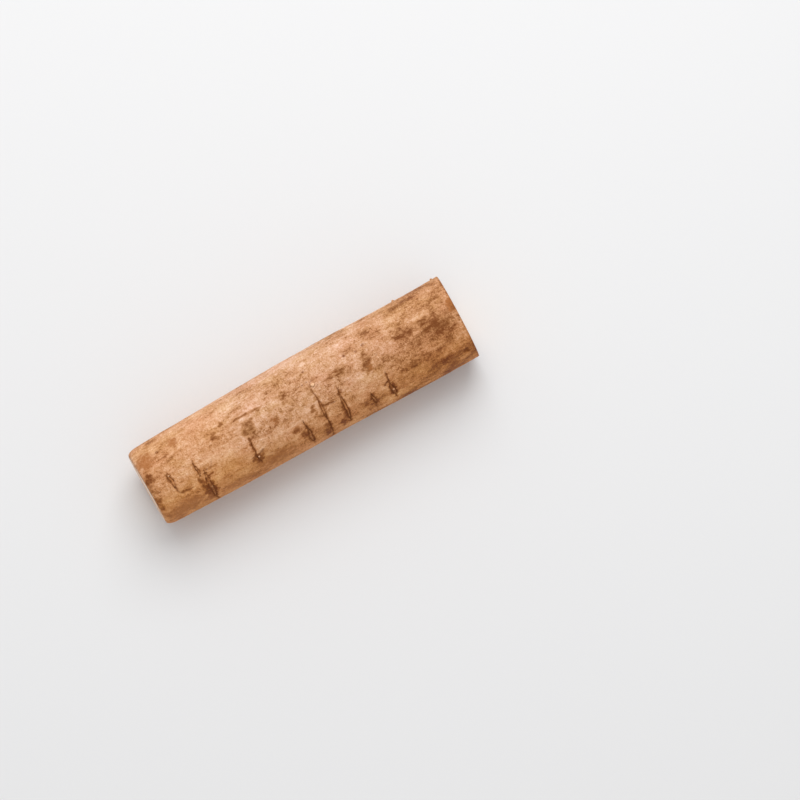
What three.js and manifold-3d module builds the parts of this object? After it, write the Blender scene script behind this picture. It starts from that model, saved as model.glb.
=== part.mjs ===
// A cut length of burdock root lying on its side. It grew as one piece, so it is one solid.
// Millimetres, +Z up. +X runs along the root, from its thinner cut end to its thicker one.
// The origin is under the middle of the root, on the surface that it rests on.
// Angles go around the root from straight up (0 degrees) over its -Y side (90) to its underside (180).

import * as THREE from "three";
import { mergeVertices } from "three/addons/utils/BufferGeometryUtils.js";
import Module from "manifold-3d";

// Driving dimensions.
const LENGTH = 119.4;
const FULL_RADIUS = 15.1;
const LAND_DEPTH = 0.3; // how far the underside is pressed flat
const THIN_RIM = { length: 3.2, drop: 1.5 }; // skin worn round at the thinner cut
const THICK_RIM = { length: 0.4, drop: 0.3 };
// How far each cut leans along X, per millimetre across Y and per millimetre up.
const THIN_CUT = { across: -0.018, up: 0.036 };
const THICK_CUT = { across: 0.031, up: -0.077 };
// Out of round, as a share of the radius. Each waist and bulge starts turned round the root by some
// radians, and winds on by some more from one end to the other.
const OVAL = { share: 0.012, turn: 0.6, twist: 1.5 };
const THREE_SIDED = { share: 0.007, turn: -0.9, twist: 2 };
const STUB_ROOT = 1.4; // how deep a rootlet's stub is sunk below the skin
const PITH_HOLLOWS = { count: 6, ring: 2.7, length: 2.5, width: 0.9, depth: 0.8 };

// How the thickness and the sideways bow go along the root: [share of the length, value].
const THICKNESS = [[0, 0.93], [0.05, 0.945], [0.18, 0.968], [0.37, 0.99], [0.6, 1], [0.75, 0.995], [1, 1]];
const BOW = [[0, 0], [0.3, 0.15], [0.58, 0.42], [0.75, 0.12], [0.88, -0.08], [1, 0.03]];

// Slits where rootlets broke through the skin. Each runs around the root, from one angle to another,
// and leans along X by the given millimetres between its ends.
const SLITS = [
  { at: 7.9, from: 1, to: 34, width: 1.1, depth: 0.9, lean: 0.2 },
  { at: 17.1, from: 4, to: 30, width: 0.7, depth: 0.7, lean: 0.1 },
  { at: 18.7, from: 24, to: 98, width: 0.8, depth: 0.8, lean: 0.3 },
  { at: 37.1, from: 16, to: 57, width: 0.7, depth: 0.7, lean: 0.1 },
  { at: 56.2, from: 30, to: 82, width: 1.4, depth: 0.9, lean: 0.6 },
  { at: 63.6, from: -4, to: 95, width: 0.8, depth: 0.8, lean: -0.2 },
  { at: 70.9, from: 17, to: 80, width: 1.3, depth: 0.9, lean: -0.9 },
  { at: 80.7, from: 43, to: 70, width: 1.2, depth: 0.7, lean: 0.1 },
  { at: 88.0, from: 28, to: 80, width: 1.7, depth: 0.9, lean: 0.2 },
  { at: 13.7, from: 232, to: 268, width: 0.9, depth: 0.8, lean: 0.5 },
  { at: 26.7, from: 196, to: 240, width: 0.8, depth: 0.8, lean: -0.4 },
  { at: 32.9, from: 112, to: 150, width: 0.8, depth: 0.8, lean: 0.3 },
  { at: 43.2, from: 226, to: 284, width: 1.0, depth: 0.9, lean: -0.6 },
  { at: 58.5, from: 215, to: 262, width: 0.9, depth: 0.8, lean: 0.4 },
  { at: 72.0, from: 250, to: 290, width: 0.9, depth: 0.8, lean: 0.2 },
  { at: 78.4, from: 120, to: 158, width: 0.8, depth: 0.7, lean: -0.3 },
  { at: 88.5, from: 205, to: 258, width: 1.1, depth: 0.9, lean: -0.5 },
  { at: 104.0, from: 236, to: 276, width: 0.9, depth: 0.8, lean: 0.4 },
];

// Stubs of rootlets left standing in and beside the slits.
const STUBS = [
  { at: 7.9, angle: 8, size: 0.9 },
  { at: 18.7, angle: 49, size: 1.0 },
  { at: 37.3, angle: 46, size: 1.1 },
  { at: 56.0, angle: 61, size: 1.0 },
  { at: 64.7, angle: -2, size: 1.0 },
  { at: 63.7, angle: 34, size: 0.9 },
  { at: 70.8, angle: 46, size: 1.0 },
  { at: 80.7, angle: 55, size: 0.9 },
  { at: 88.0, angle: 59, size: 1.2 },
  { at: 102.3, angle: -81, size: 1.0 },
  { at: 43.3, angle: 256, size: 1.2 },
  { at: 58.4, angle: 236, size: 1.1 },
  { at: 88.3, angle: 228, size: 1.2 },
  { at: 104.1, angle: 255, size: 1.0 },
];

// How finely curves are divided into flat faces.
const AROUND = 44;
const ALONG = 20;
const RIM_STEPS = 3;
const SLIT_SIDES = 4;
const SLIT_STEPS = 9;
const STUB_SIDES = 6;
const STUB_STEPS = 4;
const DROP_SIDES = 6;
const DROP_STEPS = 4;
const SAME_POINT = 1e-4; // vertices closer than this are one

const wasm = await Module();
wasm.setup();

/** A smooth curve through [share, value] pairs, read at any share of the length. */
function smoothRule(pairs) {
  const shares = pairs.map(([share]) => share);
  const curve = new THREE.SplineCurve(pairs.map(([share, value]) => new THREE.Vector2(share, value)));
  const spans = pairs.length - 1;
  return (share) => {
    const s = THREE.MathUtils.clamp(share, 0, 1);
    const span = Math.min(shares.findLastIndex((start) => start <= s), spans - 1);
    const within = (s - shares[span]) / (shares[span + 1] - shares[span]);
    return curve.getPoint((span + within) / spans).y;
  };
}

const thickness = smoothRule(THICKNESS);
const bow = smoothRule(BOW);

/** Radius of the skin at a station along the root and an angle around it. */
function skinRadius(x, angle) {
  const share = x / LENGTH;
  const oval = OVAL.share * Math.cos(2 * angle + OVAL.turn + OVAL.twist * share);
  const threeSided = THREE_SIDED.share * Math.cos(3 * angle + THREE_SIDED.turn + THREE_SIDED.twist * share);
  return FULL_RADIUS * thickness(share) * (1 + oval + threeSided);
}

/** A point of the root: x along it, an angle around it, and a height in or above the skin. */
function rootPoint(x, angle, height) {
  const share = x / LENGTH;
  const radius = Math.max(skinRadius(x, angle) + height, 0);
  const y = bow(share) - radius * Math.sin(angle);
  const up = radius * Math.cos(angle);
  const leanAcross = THREE.MathUtils.lerp(THIN_CUT.across, THICK_CUT.across, share);
  const leanUp = THREE.MathUtils.lerp(THIN_CUT.up, THICK_CUT.up, share);
  return new THREE.Vector3(x + leanAcross * y + leanUp * up, y, skinRadius(x, Math.PI) - LAND_DEPTH + up);
}

/** Turns a closed geometry into a solid that can be cut and joined. */
function toSolid(geometry) {
  const bare = geometry.clone();
  bare.deleteAttribute("normal");
  bare.deleteAttribute("uv");
  const merged = mergeVertices(bare, SAME_POINT);
  const vertProperties = Float32Array.from(merged.attributes.position.array);
  const triVerts = dropFlatFaces(merged.index.array);
  return new wasm.Manifold(new wasm.Mesh({ numProp: 3, vertProperties, triVerts }));
}

/** Leaves out triangles that have shrunk to a line, as at the poles of a lathe or a sphere. */
function dropFlatFaces(index) {
  const kept = [];
  for (let i = 0; i < index.length; i += 3) {
    const [a, b, c] = index.slice(i, i + 3);
    if (a !== b && b !== c && c !== a) kept.push(a, b, c);
  }
  return Uint32Array.from(kept);
}

/** Moves every vertex of a geometry by a rule from point to point. */
function reshape(geometry, rule) {
  const position = geometry.attributes.position;
  const point = new THREE.Vector3();
  for (let i = 0; i < position.count; i += 1) {
    const moved = rule(point.fromBufferAttribute(position, i));
    position.setXYZ(i, moved.x, moved.y, moved.z);
  }
  return geometry;
}

/** A quarter ellipse from the edge of a cut, at x = end, up to the full radius further in. */
function rimArc(end, { length, drop }, inward) {
  return Array.from({ length: RIM_STEPS + 1 }, (_, step) => {
    const turn = (step / RIM_STEPS) * (Math.PI / 2);
    const x = end + inward * length * (1 - Math.cos(turn));
    return new THREE.Vector2(FULL_RADIUS - drop * (1 - Math.sin(turn)), x);
  });
}

/** The root's outline from one cut's middle, over both rims, to the other cut's middle. */
function rootProfile() {
  const thinRim = rimArc(0, THIN_RIM, 1);
  const thickRim = rimArc(LENGTH, THICK_RIM, -1).reverse();
  const skinStart = THIN_RIM.length;
  const skinEnd = LENGTH - THICK_RIM.length;
  const skin = Array.from({ length: ALONG - 1 }, (_, i) => {
    return new THREE.Vector2(FULL_RADIUS, THREE.MathUtils.lerp(skinStart, skinEnd, (i + 1) / ALONG));
  });
  return [new THREE.Vector2(0, 0), ...thinRim, ...skin, ...thickRim, new THREE.Vector2(0, LENGTH)];
}

/** The whole root before anything is cut from it: the outline turned round, then grown uneven. */
function rootSolid() {
  const lathe = new THREE.LatheGeometry(rootProfile(), AROUND);
  const grow = ({ x: across, y: along, z: up }) => {
    const angle = Math.atan2(across, up);
    const depthShare = 1 - Math.hypot(across, up) / FULL_RADIUS;
    return rootPoint(along, angle, -depthShare * skinRadius(along, angle));
  };
  return toSolid(reshape(lathe, grow));
}

/** A lens-shaped cutter that follows the skin around the root. Angles grow towards -Y, so y counts down. */
function slitCutter({ at, from, to, width, depth, lean }) {
  const middle = THREE.MathUtils.degToRad((from + to) / 2);
  const halfTurn = THREE.MathUtils.degToRad((to - from) / 2);
  const lens = new THREE.SphereGeometry(1, SLIT_SIDES, SLIT_STEPS);
  return toSolid(reshape(lens, ({ x, y, z }) => {
    return rootPoint(at + (x * width - y * lean) / 2, middle - y * halfTurn, z * depth);
  }));
}

/** A small blunt knob that stands on the bottom of its slit. */
function stubSolid({ at, angle, size }) {
  const middle = THREE.MathUtils.degToRad(angle);
  const knob = new THREE.SphereGeometry(size / 2, STUB_SIDES, STUB_STEPS);
  return toSolid(reshape(knob, ({ x, y, z }) => {
    const height = z > 0 ? z : (z * STUB_ROOT) / (size / 2);
    return rootPoint(at + x, middle - y / FULL_RADIUS, height);
  }));
}

/** The drop-shaped hollows that stand in a star around the middle of a cut. */
function pithCutters(x) {
  const cutters = [];
  for (let i = 0; i < PITH_HOLLOWS.count; i += 1) {
    const drop = new THREE.SphereGeometry(1, DROP_SIDES, DROP_STEPS);
    drop.scale(PITH_HOLLOWS.depth, PITH_HOLLOWS.width / 2, PITH_HOLLOWS.length / 2);
    drop.translate(0, 0, PITH_HOLLOWS.ring);
    drop.rotateX((i / PITH_HOLLOWS.count) * 2 * Math.PI);
    const middle = rootPoint(x, 0, -skinRadius(x, 0));
    drop.translate(middle.x, middle.y, middle.z);
    cutters.push(toSolid(drop));
  }
  return cutters;
}

/** A block that holds everything below the resting surface. */
function belowSurface() {
  const block = new THREE.BoxGeometry(2 * LENGTH, 2 * LENGTH, LENGTH);
  block.translate(LENGTH / 2, 0, -LENGTH / 2);
  return toSolid(block);
}

/** The finished solid, with its origin under its middle. */
function burdockRootGeometry() {
  let solid = rootSolid();
  for (const slit of SLITS) solid = solid.subtract(slitCutter(slit));
  for (const stub of STUBS) solid = solid.add(stubSolid(stub));
  for (const hollow of [...pithCutters(0), ...pithCutters(LENGTH)]) solid = solid.subtract(hollow);
  const mesh = solid.subtract(belowSurface()).getMesh();
  const geometry = new THREE.BufferGeometry();
  geometry.setAttribute("position", new THREE.BufferAttribute(mesh.vertProperties, 3));
  geometry.setIndex(new THREE.BufferAttribute(mesh.triVerts, 1));
  geometry.computeBoundingBox();
  const { min, max } = geometry.boundingBox;
  geometry.translate(-(min.x + max.x) / 2, -(min.y + max.y) / 2, -min.z);
  geometry.computeVertexNormals();
  return geometry;
}

const skin = new THREE.MeshStandardMaterial({ color: "#c6936a", roughness: 0.8, metalness: 0 });

const burdockRoot = new THREE.Mesh(burdockRootGeometry(), skin);
burdockRoot.name = "burdock_root";

const part = new THREE.Group();
part.add(burdockRoot);

export default part;
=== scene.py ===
"""Dresses a cut length of burdock root and lights it on a pale floor.

The file is laid out as an add-on: property groups hold the sizes and colours, one operator makes
each piece, and a panel in the sidebar lists them. Run as a script, it makes everything in order.
Lengths are in metres unless a name or a comment says millimetres. +X runs along the root from its
thinner cut to its thicker one, +Z is up. Angles go around the root from straight up (0 degrees)
over its -Y side (90) to its underside (180).
"""

import math
from collections import namedtuple

import bpy
import numpy as np
from mathutils import Matrix, Vector


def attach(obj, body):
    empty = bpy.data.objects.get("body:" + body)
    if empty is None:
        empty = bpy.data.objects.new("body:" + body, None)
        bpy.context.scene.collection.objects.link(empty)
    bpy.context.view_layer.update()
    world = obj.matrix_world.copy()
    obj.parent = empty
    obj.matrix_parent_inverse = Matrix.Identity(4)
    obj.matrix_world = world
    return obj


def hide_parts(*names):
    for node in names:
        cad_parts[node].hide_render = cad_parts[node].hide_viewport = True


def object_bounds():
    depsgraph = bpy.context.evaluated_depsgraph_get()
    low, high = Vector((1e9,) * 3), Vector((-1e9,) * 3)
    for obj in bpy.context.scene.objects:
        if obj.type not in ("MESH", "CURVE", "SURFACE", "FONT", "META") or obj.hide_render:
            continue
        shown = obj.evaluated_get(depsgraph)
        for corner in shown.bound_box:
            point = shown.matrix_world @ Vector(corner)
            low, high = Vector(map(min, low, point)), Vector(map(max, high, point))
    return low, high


bl_info = {
    "name": "Burdock Root",
    "version": (1, 0, 0),
    "blender": (4, 5, 0),
    "location": "3D View > Sidebar > Burdock",
    "description": "Dresses a cut length of burdock root and lights it on a pale floor",
    "category": "Object",
}

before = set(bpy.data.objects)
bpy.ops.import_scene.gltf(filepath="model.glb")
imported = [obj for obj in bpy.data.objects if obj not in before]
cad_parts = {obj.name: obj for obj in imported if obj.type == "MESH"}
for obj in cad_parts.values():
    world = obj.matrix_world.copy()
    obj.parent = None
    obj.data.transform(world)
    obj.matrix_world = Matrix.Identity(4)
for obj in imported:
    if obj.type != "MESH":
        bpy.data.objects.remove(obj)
CAD_LOW, CAD_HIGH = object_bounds()
NODE = "burdock_root"
BODY = "root"
MM = 0.001
TINY = 1e-9  # keeps a width from being 0

# --------------------
# The root's own form. These rules are the solid's, so that the fine surface lies on it.

CUT_OVERHANG = 1.726 * MM  # how far the slanted cuts reach past the middles of the cuts, together
RADIUS_SHARE = 0.4973  # the full radius, as a share of the height that the pressed flat leaves
LENGTH = CAD_HIGH.x - CAD_LOW.x - CUT_OVERHANG
FULL_RADIUS = RADIUS_SHARE * (CAD_HIGH.z - CAD_LOW.z)
LAND_DEPTH = 0.3 * MM
THIN_RIM = {"length": 3.2 * MM, "drop": 1.5 * MM, "rings": 12}
THICK_RIM = {"length": 0.4 * MM, "drop": 0.3 * MM, "rings": 4}
# How much the thin and the thick cut lean along X, for a length across the root and upwards.
LEAN_ACROSS = (-0.018, 0.031)
LEAN_UP = (0.036, -0.077)
OVAL = {"share": 0.012, "turn": 0.6, "twist": 1.5, "lobes": 2}
THREE_SIDED = {"share": 0.007, "turn": -0.9, "twist": 2.0, "lobes": 3}
# Rules along the root, as (share of its length, value).
THICKNESS = ((0, 0.93), (0.05, 0.945), (0.18, 0.968), (0.37, 0.99), (0.6, 1), (0.75, 0.995), (1, 1))
BOW_MM = ((0, 0), (0.3, 0.15), (0.58, 0.42), (0.75, 0.12), (0.88, -0.08), (1, 0.03))
FINE_TURNS, FINE_STATIONS = 721, 241  # a grid on the root: every half degree, every half millimetre


def smooth_rule(pairs):
    """A smooth curve through (share, value) pairs, read at any shares of the length."""
    shares, values = (np.array(column, float) for column in zip(*pairs))
    ends = np.concatenate([values[:1], values, values[-1:]])

    def read(share):
        share = np.clip(share, 0, 1)
        span = np.clip(np.searchsorted(shares, share, side="right") - 1, 0, len(shares) - 2)
        t = (share - shares[span]) / (shares[span + 1] - shares[span])
        before, here, there, after = (ends[span + k] for k in range(4))
        leave, arrive = (there - before) / 2, (after - here) / 2
        cubic = (2 * here - 2 * there + leave + arrive) * t**3
        square = (-3 * here + 3 * there - 2 * leave - arrive) * t**2
        return cubic + square + leave * t + here

    return read


thickness = smooth_rule(THICKNESS)
bow_mm = smooth_rule(BOW_MM)


def waves(rule, share, angle):
    """One of the out-of-round rules, as a share of the radius."""
    return rule["share"] * np.cos(rule["lobes"] * angle + rule["turn"] + rule["twist"] * share)


def skin_radius(x, angle):
    """Radius of the skin at distances along the root and angles around it."""
    share = x / LENGTH
    out_of_round = waves(OVAL, share, angle) + waves(THREE_SIDED, share, angle)
    return FULL_RADIUS * thickness(share) * (1 + out_of_round)


def rule_points(x, angle, height):
    """Points of the root as its rules give them. Heights are above the skin, negative below it."""
    share = x / LENGTH
    radius = np.maximum(skin_radius(x, angle) + height, 0)
    y = bow_mm(share) * MM - radius * np.sin(angle)
    up = radius * np.cos(angle)
    lean_across, lean_up = (thin + (thick - thin) * share for thin, thick in (LEAN_ACROSS, LEAN_UP))
    z = skin_radius(x, np.full_like(x, math.pi)) - LAND_DEPTH + up
    return np.stack([x + lean_across * y + lean_up * up, y, z], axis=-1)


def place_of_origin():
    """What to add to the rules' points so that they lie on the solid: its corner less theirs."""
    turns, stations = np.linspace(-math.pi, math.pi, FINE_TURNS), np.linspace(0, LENGTH, FINE_STATIONS)
    angle, x = (grid.ravel() for grid in np.meshgrid(turns, stations))
    drop = np.where(x <= 0, THIN_RIM["drop"], np.where(x >= LENGTH, THICK_RIM["drop"], 0))
    low = rule_points(x, angle, -drop * skin_radius(x, angle) / FULL_RADIUS).min(axis=0)
    return np.array([CAD_LOW.x - low[0], CAD_LOW.y - low[1], CAD_LOW.z])


ORIGIN = place_of_origin()


def root_points(x, angle, height):
    """Points of the root where it lies. Its underside is pressed flat on the surface below."""
    points = rule_points(x, angle, height) + ORIGIN
    points[..., 2] = np.maximum(points[..., 2], CAD_LOW.z)
    return points


# --------------------
# What marks the skin, in millimetres along the root and degrees around it.


def table(kind, *rows):
    """Rows of one kind."""
    return tuple(kind(*row) for row in rows)


# A slit runs around the root from one angle to another and leans along X between its ends. A core
# is the tongue of tissue that it parts around: where that starts and stops as shares of the slit,
# and its width.
Slit = namedtuple("Slit", "at start stop width depth lean core")
SLITS = table(
    Slit,
    (7.9, 1, 34, 0.5, 0.9, 0.2, (0.06, 0.80, 0.95)),
    (17.1, 4, 30, 0.35, 0.7, 0.1, (0.35, 0.95, 0.7)),
    (18.9, 24, 98, 0.6, 0.8, 0.3, (0.04, 0.72, 1.2)),
    (37.1, 16, 57, 0.35, 0.7, 0.1, None),
    (56.2, 30, 82, 0.5, 0.9, 0.6, (0.32, 0.86, 1.1)),
    (63.6, -4, 95, 0.5, 0.8, -0.2, (0.24, 0.50, 0.75)),
    (70.9, 17, 80, 0.5, 0.9, -0.9, (0.15, 0.85, 0.95)),
    (80.7, 43, 70, 0.4, 0.7, 0.1, (0.25, 0.80, 0.95)),
    (88.0, 28, 80, 0.65, 0.9, 0.2, (0.38, 0.78, 1.3)),
    (13.7, 232, 268, 0.5, 0.8, 0.5, (0.2, 0.7, 0.7)),
    (26.7, 196, 240, 0.5, 0.8, -0.4, None),
    (32.9, 112, 150, 0.5, 0.8, 0.3, (0.3, 0.7, 0.6)),
    (43.2, 226, 284, 0.6, 0.9, -0.6, (0.35, 0.7, 0.9)),
    (58.5, 215, 262, 0.5, 0.8, 0.4, (0.2, 0.6, 0.8)),
    (72.0, 250, 290, 0.45, 0.8, 0.2, None),
    (78.4, 120, 158, 0.45, 0.7, -0.3, (0.3, 0.8, 0.6)),
    (88.5, 205, 258, 0.6, 0.9, -0.5, (0.3, 0.65, 0.9)),
    (104.0, 236, 276, 0.5, 0.8, 0.4, (0.4, 0.8, 0.7)),
)

# A patch of other colour: its middle, its half sizes along and around the root in millimetres,
# its strength and how far it is turned.
Patch = namedtuple("Patch", "at angle along around strength turn", defaults=(1.0, 0))
STAINS = table(
    Patch,
    (107.3, -7, 3.1, 2.4, 0.6),
    (111.3, -5, 2.9, 3.6, 0.3, 20),
    (111.8, -19, 1.5, 2.2, 0.7),
    (111.5, 12, 1.8, 2.0, 0.5),
    (114.5, -6, 2.0, 4.0, 0.25),
    (116.3, -14, 1.1, 2.0, 0.5),
    (107.7, 6, 3.1, 1.1, 0.6, -25),
    (100.1, -2, 5.6, 1.1, 0.55, 8),
    (84.0, 6, 2.1, 4.2, 1.0, 12),
    (38.9, 5, 2.8, 4.0, 0.9, 20),
    (37.1, 15, 1.0, 1.0, 0.8),
    (27.4, -7, 1.7, 2.4),
    (31.2, -18, 1.3, 1.6, 0.9, 20),
    (40.0, -12, 6.9, 0.7, 1.0, 2),
    (44.5, -10, 2.2, 0.7, 0.8),
    (54.2, -8, 2.5, 3.8, 0.75),
    (48.5, 14, 1.3, 1.8, 0.9, 30),
    (60.9, 28, 1.2, 3.0),
    (74.2, 0, 5.2, 0.8, 0.75, -12),
    (52.7, 40, 2.0, 1.9, 1.0, 30),
    (54.3, 51, 1.4, 2.2),
    (65.0, -4, 17.0, 1.9, 0.4),
    (62.5, 53, 0.7, 1.6, 0.9),
    (69.2, 45, 1.0, 1.1, 0.7),
    (69.8, 54, 1.2, 3.4),
    (68.9, 68, 2.4, 2.6, 0.7),
    (68.7, 68, 1.5, 1.5, 0.7),
    (56.4, 66, 1.1, 2.8, 0.8),
    (62.6, 64, 1.7, 4.8, 0.9),
    (37.3, 49, 2.5, 2.6, 1.3),
    (36.9, 31, 1.0, 4.6, 0.55),
    (37.0, 9, 1.6, 1.0),
    (40.0, 63, 8.0, 3.2, 0.65),
    (16.9, 50, 1.6, 6.5),
    (18.4, 57, 2.9, 8.0),
    (16.0, 36, 0.7, 2.5, 0.8),
    (10.7, 37, 2.1, 0.6),
    (21.2, 33, 0.6, 0.6),
    (21.8, 68, 2.2, 0.6, 0.9),
    (1.6, 0, 2.4, 2.4),
    (0.8, 34, 1.6, 2.8),
    (1.0, 47, 1.1, 1.0, 0.8),
    (14.6, -14, 1.3, 0.7, 0.6),
    (10.2, -28, 1.5, 1.1, 0.5),
    (88.2, 57, 1.9, 4.6),
    (94.6, 62, 2.0, 0.7, 0.6, 10),
    (103.7, 47, 10.6, 6.2, 0.15),
    (66.6, 29, 2.2, 0.4, 1.0, 3),
    (57.4, -50, 0.6, 0.4, 0.9),
    (56.3, -35, 0.9, 0.3, 0.8),
    (90.3, -40, 4.5, 1.3, 0.3, 5),
    (116.2, 60, 1.5, 1.5),
    (118.6, -9, 1.5, 3.4),
    (19.9, -90, 4.5, 2.8, 0.6),
    (62.1, -110, 6.7, 2.2, 0.7, 10),
    (91.8, -95, 5.6, 3.4, 0.7, -15),
    (40.1, -150, 7.8, 3.4, 0.6, 10),
    (74.4, 150, 6.7, 4.5, 0.7),
    (104.2, 130, 5.6, 3.4, 0.7, 20),
    (12.2, 130, 3.4, 3.9, 0.7),
)
RUSTS = table(
    Patch,
    (3.4, -27, 3.4, 4.8),
    (14.6, -31, 1.9, 2.4, 1.1),
    (118.2, -9, 1.6, 3.2),
    (47.0, 13, 3.4, 1.6, 0.5, 8),
    (16.2, 72, 5.0, 3.5, 0.5),
    (28.0, 74, 10.0, 3.4, 0.75),
    (42.0, 64, 9.5, 4.2, 0.9),
    (7.7, 64, 9.0, 4.8, 0.9),
    (84.3, 12, 1.4, 2.6, 0.6),
    (69.9, -125, 9.0, 3.0, 0.5),
    (25.2, -140, 8.0, 4.0, 0.5),
    (94.1, 160, 9.0, 4.0, 0.5),
)
PALES = table(
    Patch,
    (65.0, -35, 2.3, 1.4, 0.9),
    (7.9, -37, 1.8, 2.4, 0.8, -30),
    (45.8, -4, 1.8, 2.6, 0.7, 20),
    (71.3, 36, 2.0, 2.6, 0.35),
    (109.9, -10, 0.9, 1.0, 0.8),
    (82.7, -30, 3.2, 2.2, 0.4),
    (34.5, -32, 13.0, 4.5, 0.4),
    (57.4, -42, 9.0, 4.0, 0.3),
    (88.5, 7, 0.8, 1.0, 0.8),
    (79.9, 32, 3.5, 2.8, 0.5),
    (48.0, 36, 5.0, 2.8, 0.4),
    (97.0, 28, 6.0, 2.6, 0.35),
    (27.0, 30, 6.0, 3.2, 0.4),
    (104.8, -28, 8.0, 2.2, 0.3),
    (107.0, 62, 4.5, 1.6, 0.9),
    (55.0, -130, 5.0, 2.5, 0.5),
)

# A thin dark line in the skin: the points it passes, its width in millimetres and its strength.
Mark = namedtuple("Mark", "points width strength")
MARKS = table(
    Mark,
    (((63.6, -3), (64.1, -7), (65.3, -7)), 0.35, 0.9),
    (((64.5, 3), (65.8, 3), (66.3, -1)), 0.3, 0.7),
    (((87.4, 6), (87.8, 3), (89.2, 2), (90.2, 6)), 0.3, 0.6),
    (((60.6, -38), (60.3, -26), (60.1, -12)), 0.25, 0.6),
    (((56.8, -4), (59.8, -8), (63.3, -9)), 0.35, 0.8),
    (((18.9, 24), (21.3, 26), (22.6, 19)), 0.4, 0.8),
    (((16.2, 32), (16.6, 46), (17.4, 62)), 0.5, 1.0),
    (((8.1, 30), (8.6, 36), (9.6, 39), (13.2, 38)), 0.4, 0.9),
    (((71.2, 15), (71.5, 19), (72.3, 21)), 0.4, 0.9),
    (((75.1, 39), (75.3, 50), (76.5, 56), (77.9, 58)), 0.25, 0.8),
    (((80.6, 60), (80.3, 98)), 0.25, 0.8),
    (((86.0, 45), (87.3, 42)), 0.5, 1.0),
    (((86.9, 55), (89.7, 52)), 0.35, 0.9),
    (((35.3, 49), (36.6, 45), (39.7, 40)), 0.55, 1.1),
    (((35.7, 44), (37.2, 47), (38.6, 53)), 0.55, 1.1),
    (((37.4, 50), (37.6, 58)), 0.5, 1.0),
    (((64.2, 29), (66.4, 30), (68.8, 31)), 0.35, 0.9),
    (((71.7, -6), (74.8, 0), (78.4, 4)), 0.35, 0.5),
    (((24.1, 150), (24.7, 178)), 0.3, 0.8),
    (((51.9, -150), (52.4, -176)), 0.3, 0.7),
)

# Small dark pits left where thin rootlets broke off: place and diameter in millimetres.
Pit = namedtuple("Pit", "at angle size")
PITS = table(
    Pit,
    (8.5, -30, 1.4),
    (63.8, -24, 1.2),
    (78.5, -16, 1.3),
    (82.7, -13, 1.0),
    (85.8, -17, 1.5),
    (116.1, 60, 1.9),
    (15.5, -14, 0.7),
    (45.2, 24, 0.5),
    (32.8, -20, 0.6),
    (106.8, -4, 0.6),
    (117.1, -80, 1.2),
    (30.2, -100, 1.0),
    (82.9, -120, 1.1),
    (49.8, 120, 0.9),
    (97.5, 110, 1.0),
    (65.6, 170, 0.9),
)

# Stubs of rootlets that stand in and beside the slits: place, diameter and height in millimetres,
# and how pale the torn top is, from 0 to 1.
Stub = namedtuple("Stub", "at angle size height pale")
STUBS = table(
    Stub,
    (7.9, 8, 0.7, 0.35, 0.7),
    (18.9, 52, 0.7, 0.35, 0.2),
    (37.5, 46, 0.75, 0.45, 0.75),
    (56.0, 61, 0.7, 0.3, 0.2),
    (64.7, -2, 1.5, 0.6, 1.0),
    (80.7, 55, 0.6, 0.3, 0.2),
    (88.1, 57, 0.75, 0.45, 0.6),
    (88.5, 7, 0.7, 0.2, 0.9),
    (102.3, -81, 1.1, 0.5, 0.6),
    (117.1, -80, 1.0, 0.4, 0.4),
    (43.3, 256, 1.1, 0.5, 0.8),
    (58.4, 236, 1.0, 0.5, 0.6),
    (88.3, 228, 1.1, 0.6, 0.9),
    (104.1, 255, 0.9, 0.5, 0.5),
    (32.9, 131, 0.8, 0.4, 0.6),
    (78.4, 140, 0.8, 0.4, 0.5),
)

# --------------------
# How finely the root's surface is divided, and the rings that it is made of.

AROUND = 216
SKIN_RINGS = 318
FINE_STEPS = 6000  # steps that the rings' places are picked from
AT_SLIT = {"closer": 1.4, "reach": 0.9 * MM}  # how much closer rings stand at a slit, and over what reach
CUT_RINGS_MM = (0.4, 0.8, 1.2, 1.5, 1.8, 2.1, 2.4, 2.7, 3.0, 3.3, 3.6, 3.9, 4.3, 4.8, 5.4, 6.1, 6.9, 7.7)
CAMBIUM = {"share": 0.68, "width": 0.3 * MM, "depth": 0.16 * MM, "wobble": 0.012}
CAMBIUM_BAND = 0.08  # how far on each side of it the cambium's close rings reach, as a share
CAMBIUM_GAP = 0.03  # the least share between those rings and the ones of the heart
CAMBIUM_RINGS = 9
CORTEX_RINGS = 9
RIM_REACH = 10 * MM  # how far from a cut the mask "across" rises by 1


def bell(distance, reach):
    """1 at no distance, falling smoothly to near 0 at twice the reach."""
    return np.exp(-((distance / reach) ** 2))


def cut_ring_shares():
    """Rings of a cut face from its middle to its edge, as shares of its radius. They stand closest
    together at the pith's hollows and at the cambium."""
    inner = [r * MM / FULL_RADIUS for r in CUT_RINGS_MM]
    low, high = CAMBIUM["share"] - CAMBIUM_BAND, CAMBIUM["share"] + CAMBIUM_BAND
    cambium = list(np.linspace(low, high, CAMBIUM_RINGS))
    cortex = list(np.linspace(high, 1, CORTEX_RINGS + 1))[1:]
    return np.array([share for share in inner if share < low - CAMBIUM_GAP] + cambium + cortex)


def skin_stations():
    """Distances along the root at which rings of the skin stand: closest together at the slits."""
    fine = np.linspace(THIN_RIM["length"], LENGTH - THICK_RIM["length"], FINE_STEPS)
    density = np.ones_like(fine)
    for slit in SLITS:
        density += AT_SLIT["closer"] * bell(fine - slit.at * MM, AT_SLIT["reach"])
    reach = np.concatenate([[0], np.cumsum((density[1:] + density[:-1]) / 2)])
    return np.interp(np.linspace(0, 1, SKIN_RINGS), reach / reach[-1], fine)


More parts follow.
